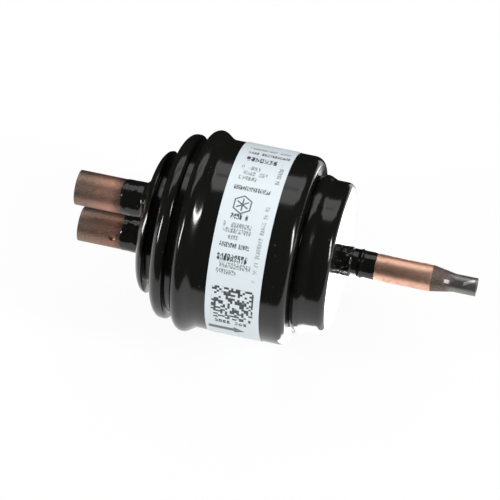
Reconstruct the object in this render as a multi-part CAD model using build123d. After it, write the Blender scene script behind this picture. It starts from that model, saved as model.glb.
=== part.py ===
from build123d import *
import math
import os

# Hermetic filter drier with two inlet tubes and one outlet tube, in millimetres.
# The shell's axis is X and the flow runs towards +X: the two inlet sockets open at -X,
# one above the other in Z, and the swaged outlet stub ends at +X.
# The origin lies on the shell's axis, midway between the tube ends.

# ---- tubes ----
INLET_OD = 8.3            # copper inlet tube, outside
SOCKET_BORE = 6.5         # takes a 1/4 in tube
SOCKET_DEPTH = 7.4        # open end to the stop inside
PASSAGE_BORE = 5.4        # inlet tube's bore beyond the stop
INLET_SPACING = 13.75     # centre to centre of the two inlet tubes
INLET_REACH = 17.1        # from the inlet end face to the tube's open end
INLET_INSIDE = 2.6        # length of inlet tube inside the shell's end wall
DIMPLE_FROM_STOP = 1.3    # stop to the middle of the dimple that marks it outside
DIMPLE_BALL_R = 1.1
DIMPLE_DEPTH = 0.5
DIMPLE_TURN = 26.4        # degrees that the lower dimple lies above the tube's -Y side
OUTLET_OD = 6.35          # copper outlet tube, outside (1/4 in)
OUTLET_WALL = 0.8
OUTLET_INSIDE = 2.2       # length of outlet tube inside the shell's end wall
OUTLET_STRAIGHT = 21.2    # outlet end face to the start of the swaged cone
CONE_LENGTH = 5.8
CONE_ROUND = 3.0          # knees at both ends of the cone
STUB_OD = 4.3             # swaged end
STUB_BORE = 2.6           # takes the capillary tube
STUB_LENGTH = 5.2
STOP_BEAD_RISE = 0.25     # ridge rolled round the outlet tube outside the braze
STOP_BEAD_WIDTH = 1.2
STOP_BEAD_GAP = 1.5       # from the end of the braze to the ridge

# ---- shell ----
WALL = 1.4                # drawn steel sheet
BODY_R = 22.4             # cylinder under the label, outside
BODY_LENGTH = 27.25       # mouth's face to the outlet shoulder's face
SHOULDER_ROUND = 1.7
LAP_CLEARANCE = 0.2       # radial gap between the skirt and the bell mouth
LAP_LENGTH = 1.95         # how far the inlet shell's skirt enters the mouth
BUTT_GAP = 0.15           # from the skirt's end to the bend inside the mouth
JOGGLE_LENGTH = 2.4       # slope from the bell mouth down to the cylinder
JOGGLE_ROUND = 2.4
LIP_ROUND = 1.3

NECK_R = 17.9             # stepped outlet end
NECK_LENGTH = 8.15        # shoulder's face to the outlet end face
NECK_ROUND = 1.5
NECK_BEAD_R = 18.8        # raised bead at the root of the neck
NECK_BEAD_WIDTH = 1.9
NECK_BEAD_FALL = 2.3      # slope from the bead down to the neck
NECK_BEAD_ROUND = 0.9
NECK_GROOVE_WIDTH = 1.1
NECK_GROOVE_DEPTH = 1.1

OUTER_RING_WIDTH = 3.8    # larger rolled ring of the inlet shell
OUTER_RING_ROUND = 3.0
OUTER_RING_HEEL = 0.5
OUTER_GROOVE_WIDTH = 2.1
OUTER_GROOVE_DEPTH = 1.5
SKIRT_LAND = 0.3          # from the outer groove to the mouth's face
SKIRT_BEND = 0.3
INNER_RING_R = 17.2       # smaller rolled ring, next to the inlet end face
INNER_RING_WIDTH = 2.6
INNER_RING_ROUND = 2.0
INNER_RING_HEEL = 0.5
INNER_GROOVE_WIDTH = 1.9
INNER_GROOVE_DEPTH = 1.6
GROOVE_ROUND = 0.6        # bottoms of the rolled grooves
COLLAR_DEPTH = 1.2        # hole flanges pressed inwards beyond the end wall
COLLAR_WALL = 0.9
BRAZE_CLEARANCE = 0.06    # radial gap between a tube and its hole

# ---- brazed and welded seams ----
INLET_BRAZE_LEG = 1.3     # fillet round each inlet tube
OUTLET_BRAZE_R = 3.62     # heavy ring of filler round the outlet tube
OUTLET_BRAZE_LENGTH = 2.9
OUTLET_BRAZE_ROUND = 0.4
WELD_LEG = 0.8            # girth weld's length along the skirt
WELD_RISE = 0.9           # girth weld's height up the mouth's face

# ---- label ----
LABEL_WIDTH = 12.7
LABEL_THICKNESS = 0.12
LABEL_GLUE = 0.03
LABEL_SPAN = 250.0        # degrees of the cylinder that the label covers
LABEL_FACING = 52.5       # degrees above horizontal, on the -Y side
LABEL_FROM_MOUTH = 8.75   # mouth's face to the label's inlet-side edge

# ---- filter parts inside ----
CORE_CLEARANCE = 1.85     # radial, inside the shell
CORE_LENGTH = 18.2
CORE_EDGE = 1.2
CORE_BORE_R = 4.5         # blind flow bore on the outlet side
CORE_BORE_DEPTH = 11.0
PAD_THICKNESS = 2.6
PAD_CLEARANCE = 0.2       # radial, inside the perforated plate's lip
PLATE_THICKNESS = 1.0
PLATE_CLEARANCE = 0.3     # radial, inside the shell
PLATE_LIP_HEIGHT = 1.5
PLATE_HOLE_R = 1.1
PLATE_HOLE_PITCH = 4.4
PLATE_HOLE_RINGS = 3
SCREEN_R = 10.5
SCREEN_DEPTH = 3.4
SCREEN_THICKNESS = 0.3
SCREEN_RIM = 1.8
SPRING_WIRE = 1.4
SPRING_CLEARANCE = 0.5    # radial, inside the inner groove's sheet
SPRING_TURNS = 2.5        # active turns between the two flat half turns
PRESSER_INSET = 1.4       # radial, from the core's side to the presser's rim
PRESSER_THICKNESS = 1.0
PRESSER_RIM_HEIGHT = 1.6
PRESSER_HOLE_R = 1.8
PRESSER_HOLES = 8
PRESSER_HOLE_CIRCLE = 8.6
SEAT_GAP = 0.02           # between inner parts that press on each other

# ---- stations along the axis ----
RINGS_LENGTH = (
    INNER_RING_WIDTH + INNER_GROOVE_WIDTH + OUTER_RING_WIDTH
    + OUTER_GROOVE_WIDTH + SKIRT_LAND
)
SHELL_LENGTH = RINGS_LENGTH + BODY_LENGTH + NECK_LENGTH
OUTLET_REACH = OUTLET_STRAIGHT + CONE_LENGTH + STUB_LENGTH
OVERALL = INLET_REACH + SHELL_LENGTH + OUTLET_REACH
INLET_TIP = -OVERALL / 2
INLET_FACE = INLET_TIP + INLET_REACH
MOUTH = INLET_FACE + RINGS_LENGTH
SHOULDER = MOUTH + BODY_LENGTH
OUTLET_FACE = SHOULDER + NECK_LENGTH
CONE_START = OUTLET_FACE + OUTLET_STRAIGHT
STUB_START = CONE_START + CONE_LENGTH
OUTLET_TIP = STUB_START + STUB_LENGTH
SKIRT_END = MOUTH + LAP_LENGTH
BELL_R = BODY_R + LAP_CLEARANCE + WALL
OUTER_GROOVE_R = BODY_R - OUTER_GROOVE_DEPTH

PLATE_R = BODY_R - WALL - PLATE_CLEARANCE
CORE_R = BODY_R - WALL - CORE_CLEARANCE
PRESSER_R = CORE_R - PRESSER_INSET
SPRING_R = INNER_RING_R - INNER_GROOVE_DEPTH - WALL - SPRING_CLEARANCE - SPRING_WIRE / 2
PLATE_SEAT = SHOULDER - WALL - SEAT_GAP       # plate's outlet side, on the shoulder
PAD_END = PLATE_SEAT - PLATE_THICKNESS - SEAT_GAP
CORE_END = PAD_END - PAD_THICKNESS - SEAT_GAP
CORE_START = CORE_END - CORE_LENGTH
PRESSER_END = CORE_START - SEAT_GAP
SPRING_START = INLET_FACE + WALL + SEAT_GAP
SPRING_END = PRESSER_END - PRESSER_THICKNESS - SEAT_GAP
INLET_HEIGHTS = {"upper": INLET_SPACING / 2, "lower": -INLET_SPACING / 2}


def section(corners):
    """Closed half section from (x, r, round) corners, with r above the axis."""
    points = [(x, r) for x, r, _ in corners]
    rounds = [bend for _, _, bend in corners]
    outline = Plane.XZ * FilletPolyline(*points, radius=rounds, close=True)
    return make_face(outline)


def turned(corners):
    """Solid of revolution about X from a rounded half section."""
    return revolve(section(corners), Axis.X)


def rod(x_start, x_end, radius, height=0.0):
    """Round bar along X, at a height above the shell's axis."""
    disc = Plane.YZ * Circle(radius)
    return Pos(x_start, 0, height) * extrude(disc, x_end - x_start)


def tube(x_start, x_end, outer, inner, height=0.0):
    return rod(x_start, x_end, outer, height) - rod(x_start, x_end, inner, height)


def bent_piece(start, inward, turn, bend):
    """Sector of sheet in a bend that begins at a point, and the point where it ends.

    The outline turns by an angle, clockwise round an outer corner of the shell and the
    other way in a groove. The bend is the outline's own radius.
    """
    hollow = turn > 0
    centre = start - inward * bend if hollow else start + inward * bend
    reach = 2 * (bend + WALL)
    arm = (start - centre).normalized() * reach
    arms = [arm.rotate(Axis.Z, math.degrees(turn) * share) for share in (0, 0.5, 1)]
    wedge = make_face(Polyline(centre, *[centre + arm for arm in arms], close=True))
    end = centre + (start - centre).rotate(Axis.Z, math.degrees(turn))
    far, near = (bend + WALL, bend) if hollow else (bend, bend - WALL)
    ring = Pos(centre) * Circle(far)
    if near > 0:
        ring -= Pos(centre) * Circle(near)
    return ring & wedge, end


def drawn_sheet(corners):
    """Turned shell of even sheet thickness lying under an outline of rounded corners."""
    stations = [Vector(x, r) for x, r, _ in corners]
    sheet = Sketch()
    start = stations[0]
    for index in range(1, len(stations)):
        corner = stations[index]
        bend = corners[index][2]
        along = (corner - stations[index - 1]).normalized()
        inward = Vector(along.Y, -along.X)
        turn = 0.0
        if bend:
            onward = stations[index + 1] - corner
            turn = math.radians(along.get_signed_angle(onward, Vector(0, 0, 1)))
        end = corner - along * (bend * math.tan(abs(turn) / 2))
        strip = [start, end, end + inward * WALL, start + inward * WALL]
        sheet += make_face(Polyline(*strip, close=True))
        start = end
        if bend:
            piece, start = bent_piece(end, inward, turn, bend)
            sheet += piece
    return revolve(Plane.XZ * sheet, Axis.X)


# ---------------------------------------------------------------- shells

def inlet_outline():
    """Outer outline of the inlet shell: end face, inner ring, outer ring, skirt."""
    inner_heel = INLET_FACE + INNER_RING_WIDTH
    outer_face = inner_heel + INNER_GROOVE_WIDTH
    outer_heel = outer_face + OUTER_RING_WIDTH
    groove_end = outer_heel + OUTER_GROOVE_WIDTH
    inner_groove_r = INNER_RING_R - INNER_GROOVE_DEPTH
    return [
        (INLET_FACE, 0, 0),
        (INLET_FACE, INNER_RING_R, INNER_RING_ROUND),
        (inner_heel, INNER_RING_R, INNER_RING_HEEL),
        (inner_heel, inner_groove_r, GROOVE_ROUND),
        (outer_face, inner_groove_r, GROOVE_ROUND),
        (outer_face, BODY_R, OUTER_RING_ROUND),
        (outer_heel, BODY_R, OUTER_RING_HEEL),
        (outer_heel, OUTER_GROOVE_R, GROOVE_ROUND),
        (groove_end, OUTER_GROOVE_R, GROOVE_ROUND),
        (groove_end, BODY_R, SKIRT_BEND),
        (SKIRT_END, BODY_R, 0),
    ]


def make_inlet_shell():
    shell = drawn_sheet(inlet_outline())
    hole_r = INLET_OD / 2 + BRAZE_CLEARANCE
    collar_end = INLET_FACE + WALL + COLLAR_DEPTH
    for height in INLET_HEIGHTS.values():
        shell += rod(INLET_FACE + WALL / 2, collar_end, hole_r + COLLAR_WALL, height)
    for height in INLET_HEIGHTS.values():
        shell -= rod(INLET_FACE - WALL, collar_end + WALL, hole_r, height)
    return shell


def outlet_outline():
    """Outer outline of the outlet shell: bell mouth, cylinder, shoulder, beaded neck."""
    slope = math.atan2(BELL_R - BODY_R, JOGGLE_LENGTH)
    joggle = SKIRT_END + BUTT_GAP + JOGGLE_ROUND * math.tan(slope / 2)
    bead_start = SHOULDER + NECK_GROOVE_WIDTH
    bead_end = bead_start + NECK_BEAD_WIDTH
    groove_r = NECK_BEAD_R - NECK_GROOVE_DEPTH
    return [
        (MOUTH, BELL_R, 0),
        (joggle, BELL_R, JOGGLE_ROUND),
        (joggle + JOGGLE_LENGTH, BODY_R, JOGGLE_ROUND),
        (SHOULDER, BODY_R, SHOULDER_ROUND),
        (SHOULDER, groove_r, GROOVE_ROUND),
        (bead_start, groove_r, GROOVE_ROUND),
        (bead_start, NECK_BEAD_R, GROOVE_ROUND),
        (bead_end, NECK_BEAD_R, NECK_BEAD_ROUND),
        (bead_end + NECK_BEAD_FALL, NECK_R, NECK_BEAD_ROUND),
        (OUTLET_FACE, NECK_R, NECK_ROUND),
        (OUTLET_FACE, 0, 0),
    ]


def make_outlet_shell():
    shell = drawn_sheet(outlet_outline())
    lip = shell.edges().filter_by(GeomType.CIRCLE).filter_by_position(
        Axis.X, MOUTH, MOUTH).sort_by(SortBy.RADIUS)[-1]
    shell = fillet(lip, LIP_ROUND)
    hole_r = OUTLET_OD / 2 + BRAZE_CLEARANCE
    collar_start = OUTLET_FACE - WALL - COLLAR_DEPTH
    shell += rod(collar_start, OUTLET_FACE - WALL / 2, hole_r + COLLAR_WALL)
    return shell - rod(collar_start - WALL, OUTLET_FACE + WALL, hole_r)


def make_girth_weld():
    """Weld fillet in the corner between the skirt's groove and the mouth's face."""
    blank = turned([
        (MOUTH - WELD_LEG, OUTER_GROOVE_R - WALL / 2, 0),
        (MOUTH - WELD_LEG, OUTER_GROOVE_R, 0),
        (MOUTH, BODY_R + WELD_RISE, 0),
        (MOUTH, OUTER_GROOVE_R - WALL / 2, 0),
    ])
    return blank - turned(inlet_outline() + [(SKIRT_END, 0, 0)])


# ---------------------------------------------------------------- tubes and seams

def stop_dimple(height):
    """Ball that dents an inlet tube beside its stop.

    The lower tube's dimple is on its -Y side and the upper one's opposite, on its +Y side.
    """
    ball_at = math.copysign(INLET_OD / 2 + DIMPLE_BALL_R - DIMPLE_DEPTH, height)
    turn = math.radians(DIMPLE_TURN)
    centre = Pos(
        INLET_TIP + SOCKET_DEPTH + DIMPLE_FROM_STOP,
        ball_at * math.cos(turn),
        height - ball_at * math.sin(turn),
    )
    return centre * Sphere(DIMPLE_BALL_R)


def make_inlet_tube(height):
    """Straight tube, bored out as a socket from its open end to the stop."""
    inside_end = INLET_FACE + WALL + INLET_INSIDE
    copper = tube(INLET_TIP, inside_end, INLET_OD / 2, PASSAGE_BORE / 2, height)
    copper -= rod(INLET_TIP, INLET_TIP + SOCKET_DEPTH, SOCKET_BORE / 2, height)
    return copper - stop_dimple(height)


def make_outlet_tube():
    """Straight tube with a rolled ridge, swaged through a cone to the stub."""
    outer, stub = OUTLET_OD / 2, STUB_OD / 2
    bore, stub_bore = outer - OUTLET_WALL, STUB_BORE / 2
    start = OUTLET_FACE - WALL - OUTLET_INSIDE
    ridge = OUTLET_FACE + OUTLET_BRAZE_LENGTH + STOP_BEAD_GAP
    ridge_r = outer + STOP_BEAD_RISE
    half_width = STOP_BEAD_WIDTH / 2
    return turned([
        (start, bore, 0),
        (start, outer, 0),
        (ridge, outer, 0),
        (ridge + half_width / 2, ridge_r, half_width / 2),
        (ridge + 1.5 * half_width, ridge_r, half_width / 2),
        (ridge + STOP_BEAD_WIDTH, outer, 0),
        (CONE_START, outer, CONE_ROUND),
        (STUB_START, stub, CONE_ROUND),
        (OUTLET_TIP, stub, 0),
        (OUTLET_TIP, stub_bore, 0),
        (STUB_START, stub_bore, CONE_ROUND),
        (CONE_START, bore, CONE_ROUND),
    ])


def make_inlet_braze(height):
    """Concave fillet of filler metal between a tube and the end face."""
    inner, leg = INLET_OD / 2, INLET_BRAZE_LEG
    collar = turned([
        (INLET_FACE - leg, inner, 0),
        (INLET_FACE - leg / 3, inner + leg / 3, leg),
        (INLET_FACE, inner + leg, 0),
        (INLET_FACE, inner, 0),
    ])
    return Pos(0, 0, height) * collar


def make_outlet_braze():
    inner = OUTLET_OD / 2
    end = OUTLET_FACE + OUTLET_BRAZE_LENGTH
    return turned([
        (OUTLET_FACE, inner, 0),
        (OUTLET_FACE, OUTLET_BRAZE_R, 0),
        (end, OUTLET_BRAZE_R, OUTLET_BRAZE_ROUND),
        (end, inner, 0),
    ])


def make_label():
    """Paper strip curved round the cylinder, centred on the side that it faces."""
    edge = MOUTH + LABEL_FROM_MOUTH
    inner = BODY_R + LABEL_GLUE
    strip = section([
        (edge, inner, 0),
        (edge, inner + LABEL_THICKNESS, 0),
        (edge + LABEL_WIDTH, inner + LABEL_THICKNESS, 0),
        (edge + LABEL_WIDTH, inner, 0),
    ])
    from_top = 90 - LABEL_FACING
    wrap = revolve(strip, Axis.X, LABEL_SPAN)
    return Rot(from_top - LABEL_SPAN / 2, 0, 0) * wrap


# ---------------------------------------------------------------- filter parts inside

def make_desiccant_core():
    """Moulded block of bonded desiccant with a blind bore towards the outlet."""
    return turned([
        (CORE_START, 0, 0),
        (CORE_START, CORE_R, CORE_EDGE),
        (CORE_END, CORE_R, CORE_EDGE),
        (CORE_END, CORE_BORE_R, 0),
        (CORE_END - CORE_BORE_DEPTH, CORE_BORE_R, CORE_EDGE),
        (CORE_END - CORE_BORE_DEPTH, 0, 0),
    ])


def make_filter_pad():
    radius = PLATE_R - PLATE_THICKNESS - PAD_CLEARANCE
    return rod(PAD_END - PAD_THICKNESS, PAD_END, radius)


def make_perforated_plate():
    """Pressed cup: a disc with staggered holes and a low lip round the pad."""
    face = PLATE_SEAT - PLATE_THICKNESS
    plate = rod(face, PLATE_SEAT, PLATE_R)
    plate += tube(face - PLATE_LIP_HEIGHT, face, PLATE_R, PLATE_R - PLATE_THICKNESS)
    reach = PLATE_HOLE_RINGS
    for row in range(-reach, reach + 1):
        for step in range(-reach, reach + 1):
            if abs(row + step) <= reach:
                hole = extrude(Plane.YZ * Circle(PLATE_HOLE_R), PLATE_THICKNESS * 2)
                across = PLATE_HOLE_PITCH * (step + row / 2)
                up = PLATE_HOLE_PITCH * row * math.sin(math.radians(60))
                plate -= Pos(face - PLATE_THICKNESS / 2, across, up) * hole
    return plate


def make_outlet_screen():
    """Dished strainer behind the perforated plate, its rim flat against the plate."""
    start = PLATE_SEAT + SEAT_GAP
    crown = SCREEN_R - SCREEN_RIM
    end = start + SCREEN_DEPTH
    skin = SCREEN_THICKNESS
    return turned([
        (start, SCREEN_R, 0),
        (start + skin, SCREEN_R, 0),
        (start + skin, crown + skin, 0),
        (end, crown / 2, SCREEN_DEPTH / 2),
        (end, 0, 0),
        (end - skin, 0, 0),
        (end - skin, crown / 2 - skin, SCREEN_DEPTH / 2),
        (start, crown, 0),
    ])


def make_core_spring():
    """Compression spring: a flat half turn at each end of the active helix."""
    wire = SPRING_WIRE / 2
    rise = SPRING_END - SPRING_START - SPRING_WIRE
    helix = Helix(pitch=rise / SPRING_TURNS, height=rise, radius=SPRING_R)
    coil = sweep(Plane(helix @ 0, z_dir=helix % 0) * Circle(wire), helix, is_frenet=True)
    for station, sense in ((0, -1), (1, 1)):
        end = helix @ station
        angle = math.degrees(math.atan2(end.Y, end.X))
        bend = Pos(0, 0, end.Z) * Rot(0, 0, angle if sense > 0 else angle - 180)
        flat = revolve(Plane.XZ * Pos(SPRING_R, 0) * Circle(wire), Axis.Z, 180)
        coil += bend * flat + Pos(end) * Sphere(wire)
    return Pos(SPRING_START + wire, 0, 0) * Rot(0, 90, 0) * coil


def make_spring_plate():
    """Presser disc: a flat web on the core, holes for the flow and a rim round the coil."""
    web_start = PRESSER_END - PRESSER_THICKNESS
    disc = rod(web_start, PRESSER_END, PRESSER_R)
    rim_start = web_start - PRESSER_RIM_HEIGHT
    disc += tube(rim_start, web_start, PRESSER_R, PRESSER_R - PRESSER_THICKNESS)
    for index in range(PRESSER_HOLES):
        turn = Rot(360 * index / PRESSER_HOLES, 0, 0)
        hole = rod(rim_start, PRESSER_END + 1, PRESSER_HOLE_R, PRESSER_HOLE_CIRCLE)
        disc -= turn * hole
    return disc


def build_parts():
    parts = {
        "inlet_shell": make_inlet_shell(),
        "outlet_shell": make_outlet_shell(),
        "girth_weld": make_girth_weld(),
        "outlet_tube": make_outlet_tube(),
        "outlet_braze": make_outlet_braze(),
        "label": make_label(),
        "desiccant_core": make_desiccant_core(),
        "filter_pad": make_filter_pad(),
        "perforated_plate": make_perforated_plate(),
        "outlet_screen": make_outlet_screen(),
        "core_spring": make_core_spring(),
        "spring_plate": make_spring_plate(),
    }
    for place, height in INLET_HEIGHTS.items():
        parts[f"inlet_tube_{place}"] = make_inlet_tube(height)
        parts[f"inlet_braze_{place}"] = make_inlet_braze(height)
    return parts


os.makedirs("parts", exist_ok=True)
for name, shape in build_parts().items():
    export_step(shape, f"parts/{name}.step")
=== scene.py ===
import math

import bpy
from bpy.props import FloatProperty, FloatVectorProperty, PointerProperty
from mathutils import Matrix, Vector, noise


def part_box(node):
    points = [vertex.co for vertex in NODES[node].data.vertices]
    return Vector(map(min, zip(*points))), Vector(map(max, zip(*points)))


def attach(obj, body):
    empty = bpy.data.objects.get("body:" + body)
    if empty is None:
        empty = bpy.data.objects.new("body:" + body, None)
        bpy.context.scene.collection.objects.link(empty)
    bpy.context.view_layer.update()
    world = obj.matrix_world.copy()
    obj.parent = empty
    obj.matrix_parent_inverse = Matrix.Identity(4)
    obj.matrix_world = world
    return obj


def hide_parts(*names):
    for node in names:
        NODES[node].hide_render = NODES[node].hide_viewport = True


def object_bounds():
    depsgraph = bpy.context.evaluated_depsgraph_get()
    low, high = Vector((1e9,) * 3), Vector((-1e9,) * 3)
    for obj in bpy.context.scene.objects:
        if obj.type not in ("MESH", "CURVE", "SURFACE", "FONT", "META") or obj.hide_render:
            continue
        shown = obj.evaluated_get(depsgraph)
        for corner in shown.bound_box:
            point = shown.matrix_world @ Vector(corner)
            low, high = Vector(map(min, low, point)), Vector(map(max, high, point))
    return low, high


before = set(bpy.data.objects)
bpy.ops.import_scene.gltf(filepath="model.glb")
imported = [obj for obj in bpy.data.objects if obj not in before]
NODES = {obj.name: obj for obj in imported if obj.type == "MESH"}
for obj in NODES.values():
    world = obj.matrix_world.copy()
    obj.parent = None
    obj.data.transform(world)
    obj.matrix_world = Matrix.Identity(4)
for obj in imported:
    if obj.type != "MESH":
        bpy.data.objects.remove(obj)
CAD_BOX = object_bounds()

bl_info = {
    "name": "Filter drier finish",
    "version": (1, 0, 0),
    "blender": (4, 5, 0),
    "location": "View3D > Sidebar > Filter drier",
    "description": "Paint, copper, label print and studio for a hermetic filter drier",
    "category": "Object",
}

MM = 0.001

# Places on the part in millimetres, taken from the boxes of its nodes.
INLET_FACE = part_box("inlet_shell")[0].x / MM
SKIRT_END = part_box("inlet_shell")[1].x / MM
OUTLET_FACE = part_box("outlet_shell")[1].x / MM
LABEL_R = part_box("label")[1].z / MM
TUBE_LOW, TUBE_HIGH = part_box("inlet_tube_upper")
INLET_TIP = TUBE_LOW.x / MM
INLET_R = (TUBE_HIGH.z - TUBE_LOW.z) / 2 / MM
INLET_HEIGHT = (TUBE_HIGH.z + TUBE_LOW.z) / 2 / MM
OUTLET_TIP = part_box("outlet_tube")[1].x / MM
OUTLET_R = 3.175
CONE_START = OUTLET_TIP - 10.5
STUB_START = OUTLET_TIP - 5.2

# Painted highlights: a white glint line painted on the stub and a white highlight spot painted
# on the cone, in millimetres along the tube and degrees round it.
GLINT_START, GLINT_END = 44.8, 47.0
GLINT_DEGREE, GLINT_TWIST, GLINT_HALF = 57.0, 15.0, 7.0
HIGHLIGHT_START, HIGHLIGHT_END = CONE_START + 3.2, CONE_START + 4.0
HIGHLIGHT_DEGREES = (44.0, 58.0)


# ------------------------------------------------------------------ shader maths

class Wire:
    """An output socket that does arithmetic: each operator adds the node it needs."""

    def __init__(self, maker, socket):
        self.maker = maker
        self.socket = socket

    def maths(self, operation, *others):
        values = dict(enumerate((self,) + others))
        return self.maker.node("ShaderNodeMath", {"operation": operation}, values)

    def __add__(self, other):
        return self.maths("ADD", other)

    __radd__ = __add__

    def __sub__(self, other):
        return self.maths("SUBTRACT", other)

    def __rsub__(self, other):
        return self * -1.0 + other

    def __mul__(self, other):
        return self.maths("MULTIPLY", other)

    __rmul__ = __mul__

    def __truediv__(self, other):
        return self.maths("DIVIDE", other)

    def __abs__(self):
        return self.maths("ABSOLUTE")

    def floor(self):
        return self.maths("FLOOR")

    def part(self):
        return self.maths("FRACT")

    def lesser(self, other):
        return self.maths("MINIMUM", other)

    def greater(self, other):
        return self.maths("MAXIMUM", other)

    def step(self, low, high):
        """0 below low and 1 above high, smooth between them."""
        settings = {"interpolation_type": "SMOOTHSTEP"}
        values = {"Value": self, "From Min": low, "From Max": high}
        return self.maker.node("ShaderNodeMapRange", settings, values)

    def within(self, low, high, soft):
        """1 between low and high, with edges soft millimetres wide."""
        return self.step(low - soft, low) * (1 - self.step(high, high + soft))


class NodeMaker:
    """Short calls that add nodes to the tree of a material or of the world."""

    def __init__(self, tree):
        self.tree = tree

    def node(self, kind, settings=None, values=None, out=0):
        """Any node: its settings first, then the values or links of its sockets."""
        made = self.tree.nodes.new(kind)
        for key, value in (settings or {}).items():
            setattr(made, key, value)
        for key, value in (values or {}).items():
            self.link(value, made.inputs[key])
        return Wire(self, made.outputs[out])

    def link(self, value, socket):
        if isinstance(value, Wire):
            self.tree.links.new(value.socket, socket)
        elif hasattr(value, "__len__") and socket.type == "RGBA":
            socket.default_value = (*value[:3], 1)
        else:
            socket.default_value = value

    def ray(self, kind):
        """1 for rays of one kind, such as Camera or Glossy, and 0 for the others."""
        outputs = self.node("ShaderNodeLightPath").socket.node.outputs
        return Wire(self, outputs[f"Is {kind} Ray"])

    def blend(self, factor, first, second):
        """Colour mix: first at 0 and second at 1."""
        return self.node("ShaderNodeMix", {"data_type": "RGBA"}, {
            "Factor": factor, 6: first, 7: second}, out=2)


class Finish(NodeMaker):
    """A material with a Principled shader, and the textures that vary it."""

    def __init__(self, name, **constants):
        self.material = bpy.data.materials.new(name)
        self.material.use_nodes = True
        super().__init__(self.material.node_tree)
        self.shader = self.tree.nodes["Principled BSDF"]
        for socket, value in constants.items():
            self.shader.inputs[socket.replace("_", " ")].default_value = value

    def drive(self, **wires):
        """Feeds sockets of the shader that vary over the surface."""
        for socket, wire in wires.items():
            self.link(wire, self.shader.inputs[socket.replace("_", " ")])

    def place(self):
        """Position on the part in millimetres: a vector wire and its x, y and z."""
        spot = self.node("ShaderNodeTexCoord", out="Object")
        scaled = self.node(
            "ShaderNodeVectorMath", {"operation": "SCALE"}, {0: spot, "Scale": 1 / MM})
        split = self.node("ShaderNodeSeparateXYZ", values={0: scaled})
        outputs = split.socket.node.outputs
        return scaled, Wire(self, outputs[0]), Wire(self, outputs[1]), Wire(self, outputs[2])

    def join(self, x, y, z):
        return self.node("ShaderNodeCombineXYZ", values={0: x, 1: y, 2: z})

    def stretch(self, vector, scale):
        return self.node(
            "ShaderNodeVectorMath", {"operation": "MULTIPLY"}, {0: vector, 1: scale})

    def speckle(self, vector, scale, detail=2.0, roughness=0.5, distortion=0.0):
        """Noise from 0 to 1 with features about 1 / scale millimetres across."""
        return self.node("ShaderNodeTexNoise", {"noise_dimensions": "3D"}, {
            "Vector": vector, "Scale": scale, "Detail": detail,
            "Roughness": roughness, "Distortion": distortion})

    def cells(self, vector, scale):
        """Distance from the nearest of scattered points, 1 / scale millimetres apart."""
        return self.node("ShaderNodeTexVoronoi", {"feature": "F1"}, {
            "Vector": vector, "Scale": scale})

    def chance(self, vector):
        """A random number from 0 to 1 for each whole-numbered spot."""
        return self.node("ShaderNodeTexWhiteNoise", {"noise_dimensions": "3D"}, {
            "Vector": vector})

    def bump(self, height, depth, onto=None):
        """Normal of a height field from 0 to 1 that stands depth millimetres high."""
        values = {"Height": height, "Distance": depth * MM, "Strength": 1.0}
        if onto is not None:
            values["Normal"] = onto
        return self.node("ShaderNodeBump", values=values)

    def put_on(self, piece):
        piece.data.materials.clear()
        piece.data.materials.append(self.material)


def facing_angle(y, z):
    """Angle round the axis in degrees: 0 on the -Y side, 90 on top."""
    return z.maths("ARCTAN2", y * -1.0) * (180 / math.pi)


# ------------------------------------------------------------------ finishes

def black_paint(name, settings, dust=0.0):
    """Thick gloss black paint with orange peel, slow waves and a few specks of dust."""
    paint = Finish(name, IOR=1.52)
    spot, *_ = paint.place()
    peel = paint.speckle(spot, 1.1, 3.0, 0.45)
    wave = paint.speckle(spot, 0.16, 1.0, 0.4, 0.3)
    grain = paint.speckle(spot, 5.0, 2.0)
    specks = 1 - paint.cells(spot, 0.42).step(0.03, 0.05)
    mottled = paint.blend(grain, settings.colour, [c * 1.5 for c in settings.colour])
    colour = paint.blend(specks * (0.25 + dust), mottled, settings.dust_colour)
    rough = settings.roughness + grain * 0.03 + specks * 0.3 + wave.step(0.55, 0.8) * 0.03
    waves = paint.bump(wave, settings.wave_depth / MM)
    peels = paint.bump(peel, settings.peel_depth / MM, waves)
    paint.drive(Base_Color=colour, Roughness=rough, Normal=paint.bump(specks, 0.02, peels))
    return paint


def copper_finish(name, settings, zones):
    """Copper with drawn lines, heat tint and stains; zones colours it along the tube."""
    copper = Finish(name, IOR=1.5)
    spot, x, y, z = copper.place()
    lines = copper.speckle(copper.stretch(spot, (0.18, 1.0, 1.0)), 7.0, 3.0, 0.6)
    cloud = copper.speckle(spot, 0.45, 4.0, 0.6, 0.6)
    stain = copper.speckle(spot, 1.6, 4.0, 0.65)
    colour, rough = zones(copper, x, y, z, cloud, stain)
    worn = copper.blend(lines.step(0.3, 0.75) * 0.35, colour, settings.shine_colour)
    pits = 1 - copper.cells(spot, 0.9).step(0.05, 0.1)
    scored = copper.bump(lines, 0.02)
    copper.drive(
        Base_Color=copper.blend(pits * 0.6, worn, settings.tarnish_colour),
        Metallic=0.95 - stain.step(0.55, 0.8) * 0.5,
        Roughness=rough + lines * 0.12,
        Normal=copper.bump(pits * -1.0, 0.04, scored),
    )
    return copper


def inlet_zones(settings, root_colour):
    """Heat tint of an inlet tube: grey brown at the open end, redder towards the shell."""
    def zones(copper, x, y, z, cloud, stain):
        root = (x + cloud * 5.0).step(INLET_TIP + 3.5, INLET_FACE - 5.0)
        body = copper.blend(root, settings.tarnish_colour, root_colour)
        tinted = copper.blend(cloud.step(0.5, 0.75) * 0.4, body, settings.tarnish_colour)
        rim = 1 - x.step(INLET_TIP + 0.3, INLET_TIP + 1.2)
        worn = copper.blend(rim * 0.5, tinted, settings.tarnish_colour)
        smoke = (x + stain * 3.0).step(INLET_FACE - 7.2, INLET_FACE - 4.6)
        colour = copper.blend(smoke * 0.85, worn, settings.soot_colour)
        return colour, 0.32 + stain * 0.2
    return zones


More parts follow.
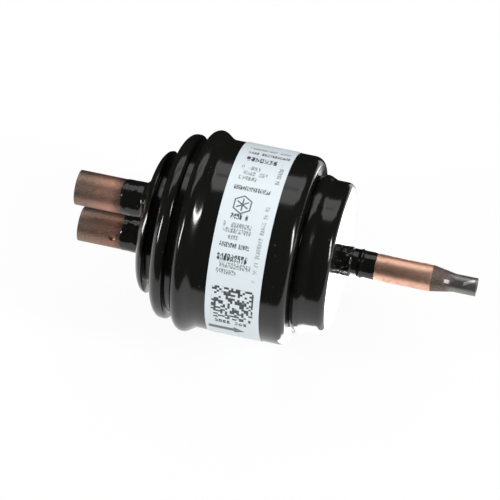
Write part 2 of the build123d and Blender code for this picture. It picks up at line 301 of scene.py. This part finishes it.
def outlet_zones(settings):
    """Outlet tube: bright copper, the grey heated cone, the bare stub and painted white
    highlights.
    """
    def zones(copper, x, y, z, cloud, stain):
        cone = (x + stain * 0.3).step(CONE_START, CONE_START + 0.25)
        stub = (x + stain * 0.8).step(STUB_START - 1.4, STUB_START - 0.4)
        bright = copper.blend(cloud.step(0.45, 0.8) * 0.5, settings.pink_colour,
                              settings.red_colour)
        heated = copper.blend(stain * 0.35, settings.cone_colour, settings.tarnish_colour)
        bare = copper.blend(cloud, settings.stub_colour, settings.cone_colour)
        colour = copper.blend(stub, copper.blend(cone, bright, heated), bare)
        # Painted highlights: a white glint line on the stub and a white spot on the cone,
        # mixed into the colour.
        angle = facing_angle(y, z)
        across = angle - (x - GLINT_START) * GLINT_TWIST - GLINT_DEGREE
        painted_glint = across.within(-GLINT_HALF, GLINT_HALF, 8.0) * x.within(GLINT_START, GLINT_END, 0.3)
        spot = x.within(HIGHLIGHT_START, HIGHLIGHT_END, 0.4) * angle.within(*HIGHLIGHT_DEGREES, 6.0)
        colour = copper.blend((painted_glint * 0.8).greater(spot), colour, (1.0, 1.0, 1.0))
        rough = 0.3 + cone * 0.18 - stub * 0.2 + stain * 0.12 + spot * 0.2
        return colour, rough
    return zones


# ------------------------------------------------------------------ label print

# Rows of print as plain broken bars: x from, x to, degrees round, height, darkness, pitch.
PRINT_ROWS = (
    (-9.2, 0.3, 121.5, 1.0, 0.55, 0.6),
    (-9.0, 0.6, 115.0, 1.1, 0.85, 0.62),
    (-8.8, -0.4, 107.6, 1.6, 0.95, 1.05),
    (-9.1, -4.6, 99.0, 1.2, 0.5, 0.75),
    (-9.1, -2.8, 94.7, 1.2, 0.45, 0.75),
    (-9.0, -4.9, 90.6, 1.1, 0.5, 0.75),
    (-9.3, -0.7, 83.4, 1.1, 0.75, 0.5),
    (-8.3, -4.3, 65.3, 1.2, 0.9, 0.68),
    (-9.5, -3.1, 60.0, 1.1, 0.5, 0.6),
    (-9.4, -3.0, 56.7, 1.0, 0.5, 0.6),
    (-7.9, -5.5, 53.0, 0.9, 0.5, 0.6),
    (-9.5, -2.6, 48.3, 1.0, 0.75, 0.5),
    (-9.6, -1.1, 41.0, 1.6, 0.95, 0.8),
    (-9.5, -1.6, 36.6, 1.3, 0.5, 0.68),
    (-9.3, -4.6, 32.4, 1.1, 0.55, 0.6),
    (-8.8, -0.5, -5.9, 1.3, 0.85, 0.95),
)
# Columns of small print beside the rows: x centre, width, degrees from and to, darkness.
PRINT_COLUMNS = (
    (-0.45, 0.9, 29.0, 74.5, 0.5),
    (-0.1, 0.9, 90.0, 103.5, 0.7),
)
BLOCK = (-9.65, 0.05, 10.1, 9.9)      # x from, x to, middle degree, height of the cells
BLOCK_CELL = 0.55
SIGN = (-6.3, 72.8, 2.0)              # x, degree and radius of the frost sign
ARROW = (-10.4, -1.9, -14.8, 1.6, 3.2, 2.5)   # x from, to, degree, stem, head width, length


def strokes(label, along, across, row, pitch):
    """Broken marks of a line of small print: blocks of a cell grid, with gaps between."""
    cell = along * (4 / pitch)
    spot = label.join(cell.floor(), (across * 3.4).floor(), row)
    mark = label.chance(spot).step(0.28, 0.32)
    gap = (along / pitch).part().step(0.78, 0.84)
    word = label.chance(label.join((along / pitch).floor(), row, 7.0)).step(0.1, 0.12)
    return mark * (1 - gap) * word


def label_finish(settings):
    """Cool white satin label with print rows, a block of cells, a frost sign and an arrow."""
    label = Finish("label_stock", IOR=1.45, Coat_Weight=0.15, Coat_Roughness=0.25)
    spot, x, y, z = label.place()
    angle = facing_angle(y, z)
    scale = math.radians(LABEL_R)      # millimetres of arc in a degree
    arc = angle * scale
    soft = 0.09
    ink = None
    for row, (start, end, degree, height, dark, pitch) in enumerate(PRINT_ROWS):
        middle = degree * scale
        band = arc.within(middle - height / 2, middle + height / 2, soft)
        bar = band * x.within(start, end, soft)
        marks = bar * strokes(label, x - start, arc - middle, float(row), pitch)
        marks = marks * min(1.0, dark * 1.3)
        ink = marks if ink is None else ink.greater(marks)
    for row, (middle, width, start, end, dark) in enumerate(PRINT_COLUMNS):
        bar = x.within(middle - width / 2, middle + width / 2, soft)
        bar = bar * arc.within(start * scale, end * scale, soft)
        marks = strokes(label, arc - start * scale, x - middle, 30.0 + row, 0.62)
        ink = ink.greater(bar * marks * dark)

    start, end, degree, height = BLOCK
    low = degree * scale - height / 2
    cell = label.join(
        ((x - start) / BLOCK_CELL).floor(), ((arc - low) / BLOCK_CELL).floor(), 50.0)
    inside = x.within(start, end, soft) * arc.within(low, low + height, soft)
    ink = ink.greater(label.chance(cell).step(0.48, 0.52) * inside)

    centre, degree, radius = SIGN
    across, up = x - centre, arc - degree * scale
    arms = None
    ring = None
    for turn in (0, 60, 120):
        sine, cosine = math.sin(math.radians(turn)), math.cos(math.radians(turn))
        aside = abs(across * cosine + up * sine)
        arms = aside if arms is None else arms.lesser(aside)
        ring = aside if ring is None else ring.greater(aside)
    star = (1 - arms.step(0.12, 0.2)) * (1 - ring.step(radius * 0.66, radius * 0.7))
    frost = ring.within(radius - 0.22, radius, soft)
    ink = ink.greater(star.greater(frost) * 0.9)

    start, end, degree, stem, head, length = ARROW
    off = abs(arc - degree * scale)
    shaft = x.within(start, end - length, soft) * (1 - off.step(stem / 2, stem / 2 + soft))
    reach = (end - x) * (head / 2 / length)
    point = x.within(end - length, end, soft) * (1 - (off - reach).step(0.0, soft))
    flow = shaft.greater(point)

    fibre = label.speckle(label.stretch(spot, (1.0, 2.0, 2.0)), 4.0, 4.0, 0.6)
    tone = label.speckle(spot, 0.12, 2.0)
    paper = label.blend(tone, settings.paper_colour, [c * 0.94 for c in settings.paper_colour])
    faded = ink * (0.86 + fibre * 0.2)
    printed = label.blend(faded, paper, settings.ink_colour)
    label.drive(
        Base_Color=label.blend(flow, printed, settings.arrow_colour),
        Roughness=0.42 + fibre * 0.12 - ink * 0.08,
        Normal=label.bump(tone, 0.05, label.bump(fibre, 0.004)),
    )
    return label


# ------------------------------------------------------------------ mesh work

def new_piece(name, vertices, faces):
    mesh = bpy.data.meshes.new(name)
    mesh.from_pydata(vertices, [], faces)
    mesh.update()
    mesh.polygons.foreach_set("use_smooth", [True] * len(mesh.polygons))
    piece = bpy.data.objects.new(name, mesh)
    bpy.context.scene.collection.objects.link(piece)
    return piece


def sleeve(name, start, end, outer, inner, height=0.0, rings=60, around=120):
    """Closed skin round a tube along X: outer and inner give its radii, all in mm."""
    vertices, faces = [], []
    for radius in (outer, inner):
        for ring in range(rings + 1):
            x = start + (end - start) * ring / rings
            for step in range(around):
                turn = 2 * math.pi * step / around
                r = radius(x, turn)
                vertices.append((
                    x * MM, -r * math.cos(turn) * MM, (height + r * math.sin(turn)) * MM))
    skin = (rings + 1) * around
    for ring in range(rings):
        for step in range(around):
            near, far = ring * around + step, ring * around + (step + 1) % around
            faces.append((near, near + around, far + around, far))
            inside = (near + skin, far + skin, far + skin + around, near + skin + around)
            faces.append(inside)
    for ring, flip in ((0, False), (rings, True)):
        for step in range(around):
            near, far = ring * around + step, ring * around + (step + 1) % around
            cap = (near, far, far + skin, near + skin)
            faces.append(cap[::-1] if flip else cap)
    return new_piece(name, vertices, faces)


def flank(start, end, steps=24):
    """Quarter ellipse of a ring's flank: steep at its start (x, r) and level at its end."""
    turns = [math.pi / 2 * step / steps for step in range(steps + 1)]
    return [(end[0] + (start[0] - end[0]) * math.cos(turn),
             start[1] + (end[1] - start[1]) * math.sin(turn)) for turn in turns]


def ease(start, end, steps=24):
    """Soft slope that leaves its start (x, r) and meets its end without a corner."""
    shares = [step / steps for step in range(steps + 1)]
    return [(start[0] + (end[0] - start[0]) * share,
             end[1] + (start[1] - end[1]) * (0.5 + 0.5 * math.cos(math.pi * share)))
            for share in shares]


# The shells' outer faces: radii, then places along the axis from the inlet end wall, from
# the bell mouth and from the shoulder, all in millimetres.
INNER_RING_R, INNER_GROOVE_R, OUTER_RING_R, SKIRT_R = 17.1, 14.0, 22.0, 20.2
BELL_R, BODY_R, NECK_R, NECK_BEAD_R = 23.98, LABEL_R - 0.15, 17.9, 18.7
END_WALL = INLET_FACE + 0.35
BELL = INLET_FACE + 10.6
SHOULDER = OUTLET_FACE - 8.15
WALL = 1.4


def inlet_outline():
    """Half section of the inlet shell: end wall, inner ring, groove, outer ring and skirt."""
    face = INLET_FACE
    points = [(END_WALL, 0.0), (END_WALL, 12.0)]
    points += flank((END_WALL, 12.2), (face + 2.7, INNER_RING_R))[:20]
    points += [(face + 2.55, INNER_RING_R - 0.1), (face + 2.65, INNER_RING_R - 0.4)]
    points += [(face + 2.7, INNER_GROOVE_R + 0.3), (face + 3.0, INNER_GROOVE_R)]
    points += flank((face + 4.9, 14.9), (face + 4.0, INNER_GROOVE_R))[::-1]
    points += flank((face + 4.9, 17.3), (face + 7.6, OUTER_RING_R))
    points += flank((face + 8.9, 21.3), (face + 8.1, OUTER_RING_R))[::-1]
    points += [(face + 8.9, SKIRT_R + 0.3), (face + 9.2, SKIRT_R), (SKIRT_END, SKIRT_R)]
    # the inside, plain since nothing shows it
    points += [(SKIRT_END, 19.0), (face + 9.0, 19.0), (face + 6.0, 16.0)]
    return points + [(face + 5.0, 13.2), (face + 2.5, 13.2), (face + 2.5, 0.0)]


def outlet_outline():
    """Half section of the outlet shell: bell mouth, cylinder, shoulder and beaded neck."""
    end, inside = OUTLET_FACE, OUTLET_FACE - WALL
    points = [(BELL, 20.25)]
    points += flank((BELL, 20.7), (BELL + 2.4, BELL_R))
    points += ease((BELL + 2.5, BELL_R), (BELL + 5.9, BODY_R))
    points += flank((SHOULDER, BODY_R - 1.9), (SHOULDER - 2.4, BODY_R))[::-1]
    points += [(SHOULDER, NECK_R + 0.3), (SHOULDER + 0.25, NECK_R)]
    points += flank((SHOULDER + 0.3, NECK_R), (SHOULDER + 1.5, NECK_BEAD_R))
    points += ease((SHOULDER + 1.6, NECK_BEAD_R), (SHOULDER + 4.3, NECK_R))
    points += flank((end, NECK_R - 1.6), (end - 1.8, NECK_R))[::-1]
    points += [(end, 12.0), (end, 0.0)]
    # the inside, plain since nothing shows it
    points += [(inside, 0.0), (inside, 16.4)]
    points += [(SHOULDER - WALL, 16.4), (SHOULDER - WALL, 20.95), (BELL + 1.6, 20.95)]
    return points + [(BELL + 1.6, 20.3)]


def lathe(name, outline, around=320):
    """Closed solid turned about X from an outline of (x, r) points in mm."""
    vertices, faces, rows = [], [], []
    for x, r in outline:
        first = len(vertices)
        turns = [2 * math.pi * step / around for step in range(around)] if r else [0.0]
        vertices += [(x * MM, -r * math.cos(turn) * MM, r * math.sin(turn) * MM)
                     for turn in turns]
        rows.append([first + step % len(turns) for step in range(around + 1)])
    for near, far in zip(rows, rows[1:] + rows[:1]):
        for step in range(around):
            corners = [near[step], far[step], far[step + 1], near[step + 1]]
            face = list(dict.fromkeys(corners))
            if len(face) > 2:
                faces.append(face)
    return new_piece(name, vertices, faces)


def ripple(x, turn, scale, seed):
    """Smooth noise from about -1 to 1 that joins up round a tube."""
    spot = Vector((x * scale, 4 * math.cos(turn) * scale, 4 * math.sin(turn) * scale + seed))
    return noise.noise(spot)


def finish_piece(piece, paint, *replaced):
    """Paints a piece, fixes it to the body and lets it stand in for the nodes named."""
    paint.put_on(piece)
    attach(piece, "root")
    if replaced:
        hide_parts(*replaced)


def direction(turn, rise):
    """Unit vector from the part: turn 0 is straight before it and 90 its outlet side."""
    return Vector((
        math.sin(turn) * math.cos(rise), -math.cos(turn) * math.cos(rise), math.sin(rise)))


# ------------------------------------------------------------------ settings

class DrierPaint(bpy.types.PropertyGroup):
    """Black paint on the shells and the tube roots"""
    colour: FloatVectorProperty(
        name="Colour", description="Base colour of the black paint",
        default=(0.006, 0.006, 0.0055), subtype="COLOR", min=0, max=1)
    dust_colour: FloatVectorProperty(
        name="Dust", description="Colour of the specks of dust in the paint",
        default=(0.35, 0.33, 0.3), subtype="COLOR", min=0, max=1)
    roughness: FloatProperty(
        name="Roughness", description="Roughness of the clean gloss",
        default=0.12, min=0, max=1, subtype="FACTOR")
    peel_depth: FloatProperty(
        name="Orange peel", description="Depth of the fine orange peel",
        default=0.000008, unit="LENGTH", precision=6)
    wave_depth: FloatProperty(
        name="Waves", description="Depth of the slow waves in the drawn sheet",
        default=0.00008, unit="LENGTH", precision=6)


class DrierCopper(bpy.types.PropertyGroup):
    """Copper of the tubes, with its heat tints"""
    pink_colour: FloatVectorProperty(
        name="Clean copper", description="Clean copper beside the paint",
        default=(1.0, 0.6, 0.43), subtype="COLOR", min=0, max=1)
    red_colour: FloatVectorProperty(
        name="Red copper", description="Darker, redder heat tint",
        default=(0.27, 0.13, 0.088), subtype="COLOR", min=0, max=1)
    dull_pink_colour: FloatVectorProperty(
        name="Dull copper", description="Duller pink of the upper inlet tube",
        default=(0.5, 0.25, 0.18), subtype="COLOR", min=0, max=1)
    soot_colour: FloatVectorProperty(
        name="Soot", description="Dark overspray beside the paint's edge",
        default=(0.03, 0.022, 0.018), subtype="COLOR", min=0, max=1)
    tarnish_colour: FloatVectorProperty(
        name="Tarnish", description="Grey brown tarnish at the open ends",
        default=(0.2, 0.145, 0.112), subtype="COLOR", min=0, max=1)
    shine_colour: FloatVectorProperty(
        name="Drawn lines", description="Bright drawn lines along the tube",
        default=(0.75, 0.5, 0.4), subtype="COLOR", min=0, max=1)
    cone_colour: FloatVectorProperty(
        name="Cone", description="Heated grey of the swaged cone",
        default=(0.13, 0.125, 0.12), subtype="COLOR", min=0, max=1)
    stub_colour: FloatVectorProperty(
        name="Stub", description="Bare cool grey of the swaged stub",
        default=(0.26, 0.33, 0.33), subtype="COLOR", min=0, max=1)
    inlet_paint_reach: FloatProperty(
        name="Inlet paint", description="How far the paint runs up the inlet tubes",
        default=0.0065, unit="LENGTH")
    outlet_paint_reach: FloatProperty(
        name="Outlet paint", description="How far the paint runs along the outlet tube",
        default=0.0085, unit="LENGTH")


class DrierLabel(bpy.types.PropertyGroup):
    """Label stock and inks"""
    paper_colour: FloatVectorProperty(
        name="Stock", description="Cool white of the label",
        default=(0.76, 0.83, 0.86), subtype="COLOR", min=0, max=1)
    ink_colour: FloatVectorProperty(
        name="Ink", description="Ink of the small print",
        default=(0.03, 0.035, 0.04), subtype="COLOR", min=0, max=1)
    arrow_colour: FloatVectorProperty(
        name="Arrow", description="Grey of the flow arrow",
        default=(0.13, 0.14, 0.15), subtype="COLOR", min=0, max=1)


class DrierStage(bpy.types.PropertyGroup):
    """Camera, floor and lights"""
    turn: FloatProperty(
        name="Turn", description="Camera's turn round the part, from straight before it",
        default=math.radians(14.64), subtype="ANGLE")
    rise: FloatProperty(
        name="Rise", description="Camera's angle above the floor",
        default=math.radians(52.5), subtype="ANGLE")
    distance: FloatProperty(
        name="Distance", description="From the camera to the part",
        default=0.6, unit="LENGTH")
    lens: FloatProperty(
        name="Lens", description="Focal length in millimetres", default=184.9)
    aim_x: FloatProperty(
        name="Aim", description="Place along the axis in the picture's middle",
        default=-0.0063, unit="LENGTH")
    aim_drop: FloatProperty(
        name="Drop", description="How far the picture's middle lies below the axis",
        default=0.00222, unit="LENGTH")
    floor_colour: FloatVectorProperty(
        name="Floor", description="Colour of the floor",
        default=(0.9, 0.9, 0.9), subtype="COLOR", min=0, max=1)


SETTINGS = {
    "drier_paint": DrierPaint,
    "drier_copper": DrierCopper,
    "drier_label": DrierLabel,
    "drier_stage": DrierStage,
}


# ------------------------------------------------------------------ operators

class DRIER_OT_shells(bpy.types.Operator):
    """Paint both shells and the girth weld gloss black"""
    bl_idname = "drier.shells"
    bl_label = "Shells"

    def execute(self, context):
        paint = black_paint("gloss_black", context.scene.drier_paint)
        self.skin("inlet_skin", inlet_outline(), paint, "inlet_shell")
        self.skin("outlet_skin", outlet_outline(), paint, "outlet_shell", "girth_weld")
        return {"FINISHED"}

    def skin(self, name, outline, paint, *replaced):
        piece = lathe(name, outline)
        piece.data.set_sharp_from_angle(angle=math.radians(40))
        finish_piece(piece, paint, *replaced)


class DRIER_OT_inlet_tubes(bpy.types.Operator):
    """Give the two inlet tubes their tarnished copper"""
    bl_idname = "drier.inlet_tubes"
    bl_label = "Inlet tubes"

    def execute(self, context):
        settings = context.scene.drier_copper
        # The lower tube's root takes the darker, redder colour, so that tube comes out darker
        # than the upper one.
        for place, root_colour in (
            ("upper", settings.dull_pink_colour),
            ("lower", settings.red_colour),
        ):
            zones = inlet_zones(settings, root_colour)
            copper_finish(f"copper_{place}", settings, zones).put_on(
                NODES[f"inlet_tube_{place}"])
        return {"FINISHED"}


class DRIER_OT_inlet_paint(bpy.types.Operator):
    """Build the lumpy paint and braze round the roots of the inlet tubes"""
    bl_idname = "drier.inlet_paint"
    bl_label = "Paint on the inlet roots"

    def execute(self, context):
        scene = context.scene
        reach = scene.drier_copper.inlet_paint_reach / MM
        paint = black_paint("gloss_black_root", scene.drier_paint, dust=0.2)
        leg = 1.3               # of the fillet where the tube leaves the end wall
        overlap = 0.06          # how deep the paint's inner face lies in the tube
        for place, side in (("upper", 1), ("lower", -1)):
            seed = 11.0 + 7.0 * side

            def outer(x, turn):
                back = INLET_FACE - x
                fillet = max(0.0, leg - back)
                flare = fillet * fillet / leg
                edge = reach + 0.6 * ripple(x, turn, 0.35, seed + 3) - 0.25 * side
                lumps = 0.1 * ripple(x, turn, 0.55, seed) + 0.05 * ripple(x, turn, 1.6, seed)
                fade = max(0.0, min(1.0, (edge - back) / 0.5))
                return INLET_R + flare + (0.12 + lumps) * fade - 0.03 * (1 - fade)

            piece = sleeve(
                f"inlet_root_paint_{place}", INLET_FACE - reach - 1.0, INLET_FACE - 0.002,
                outer, lambda x, turn: INLET_R - overlap, side * INLET_HEIGHT)
            finish_piece(piece, paint, f"inlet_braze_{place}")
        return {"FINISHED"}


class DRIER_OT_outlet_tube(bpy.types.Operator):
    """Give the outlet tube its bright copper, heated cone and bare stub"""
    bl_idname = "drier.outlet_tube"
    bl_label = "Outlet tube"

    def execute(self, context):
        settings = context.scene.drier_copper
        copper_finish("copper_outlet", settings, outlet_zones(settings)).put_on(
            NODES["outlet_tube"])
        return {"FINISHED"}


class DRIER_OT_outlet_seam(bpy.types.Operator):
    """Build the lumpy braze ring and the paint round the outlet tube's root"""
    bl_idname = "drier.outlet_seam"
    bl_label = "Outlet seam"

    def execute(self, context):
        scene = context.scene
        reach = scene.drier_copper.outlet_paint_reach / MM
        paint = black_paint("gloss_black_seam", scene.drier_paint, dust=0.2)
        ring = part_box("outlet_braze")[1]
        ring_r, ring_end = ring.z / MM, ring.x / MM
        overlap = 0.06          # how deep the paint's inner face lies in the tube
        ridge = ring_end + 2.1  # middle of the tube's rolled ridge

        def seam(x, turn):
            lumps = 0.28 * ripple(x, turn, 0.8, 40.0) + 0.1 * ripple(x, turn, 2.0, 44.0)
            end = min(1.0, (ring_end - x) / 0.35)
            return OUTLET_R + (ring_r - OUTLET_R - 0.12 + lumps) * max(0.25, end ** 0.5)

        piece = sleeve(
            "outlet_braze_lumps", OUTLET_FACE + 0.002, ring_end, seam,
            lambda x, turn: OUTLET_R - overlap)
        finish_piece(piece, paint, "outlet_braze")

        def film(x, turn):
            bulge = math.exp(-((x - ridge) / 0.5) ** 2) * 0.25
            edge = reach + 0.18 * ripple(x, turn, 1.0, 60.0)
            fade = max(0.0, min(1.0, (edge - (x - OUTLET_FACE)) / 0.3))
            depth = 0.07 + 0.03 * ripple(x, turn, 0.6, 63.0)
            return OUTLET_R + bulge + depth * fade - 0.03 * (1 - fade)

        piece = sleeve(
            "outlet_root_paint", ring_end - 0.1, OUTLET_FACE + reach + 0.5, film,
            lambda x, turn: OUTLET_R - overlap)
        finish_piece(piece, paint)
        return {"FINISHED"}


class DRIER_OT_label(bpy.types.Operator):
    """Print the label: broken bars, a block of cells, a frost sign and a flow arrow"""
    bl_idname = "drier.label"
    bl_label = "Label"

    def execute(self, context):
        label_finish(context.scene.drier_label).put_on(NODES["label"])
        return {"FINISHED"}


class DRIER_OT_filter_parts(bpy.types.Operator):
    """Give the parts inside their block, felt and steel finishes"""
    bl_idname = "drier.filter_parts"
    bl_label = "Filter parts"

    def execute(self, context):
        block = Finish("bonded_beads", Roughness=0.9)
        spot, *_ = block.place()
        beads = block.cells(spot, 1.4)
        tone = block.speckle(spot, 0.5, 3.0)
        block.drive(
            Base_Color=block.blend(tone, (0.62, 0.52, 0.38), (0.78, 0.7, 0.58)),
            Roughness=0.8 + beads * 0.15,
            Normal=block.bump(1 - beads, 0.3))
        block.put_on(NODES["desiccant_core"])

        felt = Finish("felt", Roughness=0.95)
        spot, *_ = felt.place()
        fibres = felt.speckle(felt.stretch(spot, (1.0, 3.0, 3.0)), 3.0, 6.0, 0.75, 1.5)
        felt.drive(
            Base_Color=felt.blend(fibres, (0.78, 0.77, 0.72), (0.92, 0.92, 0.9)),
            Roughness=0.9 + fibres * 0.1,
            Normal=felt.bump(fibres, 0.2))
        felt.put_on(NODES["filter_pad"])

        steel = Finish("pressed_steel", Metallic=1.0)
        spot, *_ = steel.place()
        rolled = steel.speckle(steel.stretch(spot, (1.0, 0.2, 4.0)), 3.0, 4.0, 0.6)
        bloom = steel.speckle(spot, 0.2, 2.0)
        steel.drive(
            Base_Color=steel.blend(bloom, (0.46, 0.46, 0.45), (0.62, 0.62, 0.6)),
            Roughness=0.28 + rolled * 0.2,
            Normal=steel.bump(rolled, 0.02))
        for name in ("perforated_plate", "core_spring", "spring_plate"):
            steel.put_on(NODES[name])

        gauze = Finish("woven_gauze", Metallic=1.0)
        _, _, y, z = gauze.place()
        weft = abs((y * 3.0).part() - 0.5)
        warp = abs((z * 3.0).part() - 0.5)
        weave = weft.greater(warp)
        gauze.drive(
            Base_Color=gauze.blend(weave.step(0.2, 0.4), (0.5, 0.5, 0.48), (0.05, 0.05, 0.05)),
            Roughness=0.35 + weave * 0.3,
            Normal=gauze.bump(1 - weave, 0.1))
        gauze.put_on(NODES["outlet_screen"])
        return {"FINISHED"}


# Lamps aimed at the part: name, turn, rise, distance, width and height, strength.
LAMPS = (
    ("top_near", 203.0, 64.5, 0.6, (0.8, 0.2), 0.5),
    ("top_far", 193.0, 43.5, 0.6, (0.8, 0.2), 0.42),
    ("left_strip", -62.0, 24.0, 0.7, (0.085, 0.34), 9.0),
    ("right_strip", 80.0, 28.0, 0.7, (0.085, 0.44), 9.0),
)
# The floor as reflections see it: pale from its front edge to its back edge, which lies
# further back beyond the outlet end. Edges are soft, from and to, in millimetres.
PALE_FRONT, PALE_BACK = (-108.0, -88.0), (4.0, 20.0)
OUTLET_SIDE, OUTLET_DEPTH = (12.0, 20.0), 90.0


class DRIER_OT_stage(bpy.types.Operator):
    """Set up the floor, the soft lights, the white surroundings and the camera"""
    bl_idname = "drier.stage"
    bl_label = "Stage"

    def execute(self, context):
        scene = context.scene
        settings = scene.drier_stage
        floor_z = CAD_BOX[0].z - 0.0002
        self.floor(settings, floor_z)
        self.surroundings(scene)
        for name, turn, rise, distance, size, face in LAMPS:
            way = direction(math.radians(turn), math.radians(rise))
            lamp = self.lamp(scene, name, size, face)
            lamp.location = way * distance
            lamp.rotation_euler = way.to_track_quat("Z", "Y").to_euler()
        self.table_glow(scene, settings, floor_z)
        self.camera(scene, settings)
        scene.view_settings.view_transform = "Standard"
        return {"FINISHED"}

    def floor(self, settings, floor_z):
        """White seen directly; reflections see it pale before the part and dark behind it."""
        half = 1.5              # metres
        corners = [(-half, -half, floor_z), (half, -half, floor_z),
                   (half, half, floor_z), (-half, half, floor_z)]
        floor = new_piece("floor", corners, [(0, 1, 2, 3)])
        card = Finish("floor_card", Roughness=0.8)
        card.link(settings.floor_colour, card.shader.inputs["Base Color"])
        mirror_ray = card.ray("Glossy").greater(card.ray("Transmission"))
        camera_ray = card.ray("Camera")
        _, x, y, _ = card.place()
        ahead = y.step(*PALE_FRONT)
        behind = (y - x.step(*OUTLET_SIDE) * OUTLET_DEPTH).step(*PALE_BACK)
        pale = camera_ray.greater(ahead * (1 - behind))
        shade = card.node("ShaderNodeEmission", values={
            "Color": card.blend(pale, (0.01, 0.01, 0.01), (1, 1, 1)),
            "Strength": 1.0})
        mixed = card.node("ShaderNodeMixShader", values={
            0: (camera_ray * 0.93).greater(mirror_ray),
            1: Wire(card, card.shader.outputs[0]), 2: shade})
        card.link(mixed, card.tree.nodes["Material Output"].inputs["Surface"])
        card.put_on(floor)

    def surroundings(self, scene):
        """White seen directly, a dark studio in reflections and soft grey light elsewhere."""
        scene.world = bpy.data.worlds.new("studio")
        scene.world.use_nodes = True
        air = NodeMaker(scene.world.node_tree)
        way = air.node("ShaderNodeTexCoord", out="Generated")
        split = air.node("ShaderNodeSeparateXYZ", values={0: way})
        height = Wire(air, split.socket.node.outputs[2])
        above = height.step(-0.02, 0.03)
        mirrored = air.blend(above, (0.02, 0.02, 0.02), (0.012, 0.012, 0.012))
        unseen = air.blend(air.ray("Glossy"), (0.36, 0.37, 0.38), mirrored)
        background = air.tree.nodes["Background"]
        air.link(air.blend(air.ray("Camera"), unseen, (1.0, 1.0, 1.0)),
                 background.inputs["Color"])
        background.inputs["Strength"].default_value = 1.0

    def lamp(self, scene, name, size, face):
        """A soft box whose face shines with the strength given."""
        light = bpy.data.lights.new(name, "AREA")
        light.shape = "RECTANGLE"
        light.size, light.size_y = size
        light.energy = face * math.pi * size[0] * size[1] * math.pi
        box = bpy.data.objects.new(name, light)
        scene.collection.objects.link(box)
        return box

    def table_glow(self, scene, settings, floor_z):
        """A bright strip of the table, where the camera sees it mirrored in the outlet end."""
        turn, rise = settings.turn, settings.rise
        across, away = math.sin(turn) / math.tan(rise), math.cos(turn) / math.tan(rise)
        strip = self.lamp(scene, "table_glow", (0.0095, 0.08), 1.7)
        strip.location = (OUTLET_FACE * MM - floor_z * across, -floor_z * away,
                          floor_z + 0.0001)
        strip.rotation_euler = (math.pi, 0, -math.atan2(across, away))
        strip.visible_camera = False

    def camera(self, scene, settings):
        """The one camera, aimed a little below the axis."""
        turn, rise = settings.turn, settings.rise
        to_camera = direction(turn, rise)
        upward = Vector((-math.sin(turn) * math.sin(rise),
                         math.cos(turn) * math.sin(rise), math.cos(rise)))
        aim = Vector((settings.aim_x, 0, 0)) - upward * settings.aim_drop
        camera = bpy.data.objects.new("camera", bpy.data.cameras.new("camera"))
        scene.collection.objects.link(camera)
        camera.location = aim + to_camera * settings.distance
        camera.rotation_euler = to_camera.to_track_quat("Z", "Y").to_euler()
        camera.data.lens = settings.lens
        camera.data.sensor_width = 36.0
        scene.camera = camera


class DRIER_PT_tools(bpy.types.Panel):
    """The drier's pieces and settings"""
    bl_idname = "DRIER_PT_tools"
    bl_label = "Filter drier"
    bl_space_type = "VIEW_3D"
    bl_region_type = "UI"
    bl_category = "Filter drier"

    def draw(self, context):
        for operator in OPERATORS:
            self.layout.operator(operator.bl_idname)
        for name, group in SETTINGS.items():
            box = self.layout.box()
            settings = getattr(context.scene, name)
            for key in group.__annotations__:
                box.prop(settings, key)


OPERATORS = (
    DRIER_OT_shells,
    DRIER_OT_inlet_tubes,
    DRIER_OT_inlet_paint,
    DRIER_OT_outlet_tube,
    DRIER_OT_outlet_seam,
    DRIER_OT_label,
    DRIER_OT_filter_parts,
    DRIER_OT_stage,
)


def register():
    for name, group in SETTINGS.items():
        bpy.utils.register_class(group)
        setattr(bpy.types.Scene, name, PointerProperty(type=group))
    for item in OPERATORS + (DRIER_PT_tools,):
        bpy.utils.register_class(item)


def unregister():
    for item in reversed(OPERATORS + (DRIER_PT_tools,)):
        bpy.utils.unregister_class(item)
    for name, group in SETTINGS.items():
        delattr(bpy.types.Scene, name)
        bpy.utils.unregister_class(group)


def main():
    register()
    for operator in OPERATORS:
        family, name = operator.bl_idname.split(".")
        getattr(getattr(bpy.ops, family), name)()


if __name__ == "__main__":
    main()
